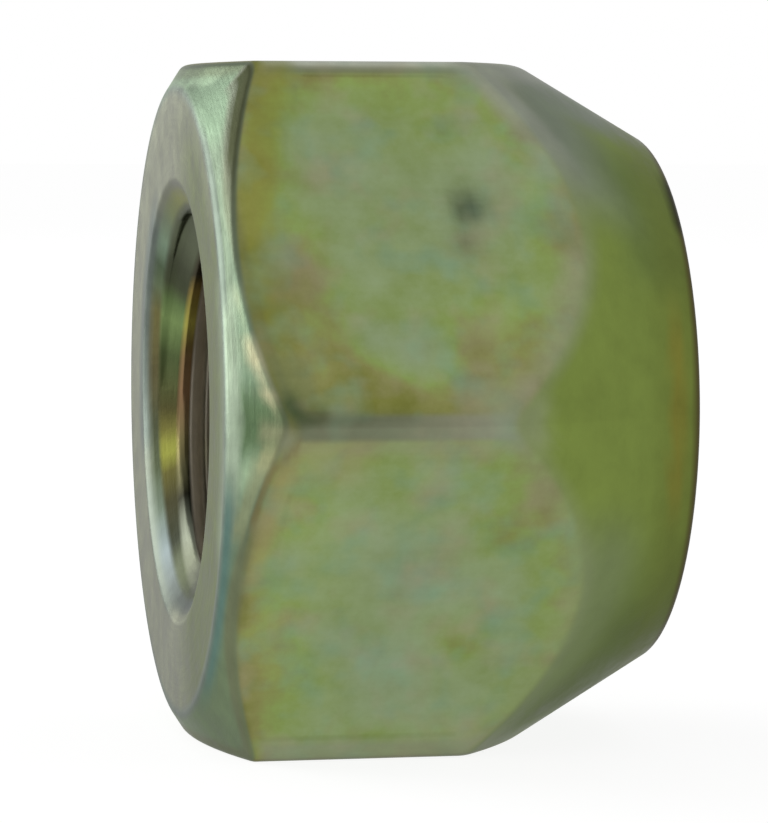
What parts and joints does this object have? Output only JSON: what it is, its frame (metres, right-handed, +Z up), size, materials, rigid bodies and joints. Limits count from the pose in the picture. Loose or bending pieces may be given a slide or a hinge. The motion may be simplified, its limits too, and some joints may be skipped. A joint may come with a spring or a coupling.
{
  "type": "lug nut",
  "caption": "Open-ended hexagonal wheel nut with a conical seat, yellow zinc plated, lying on one of its flats.",
  "frame": {"origin": "on the thread axis, half way along the nut's length", "axes": "+X along the thread axis towards the conical nose, +Z up, and the nut lies on the wrench flat that faces -Z"},
  "size_m": [0.0148, 0.024, 0.021],
  "materials": {
    "plated_steel": "yellow zinc chromate plating on steel, satin, with green and grey-mauve tints"
  },
  "bodies": {
    "root": {"lug_nut": "plated_steel"}
  },
  "joints": []
}
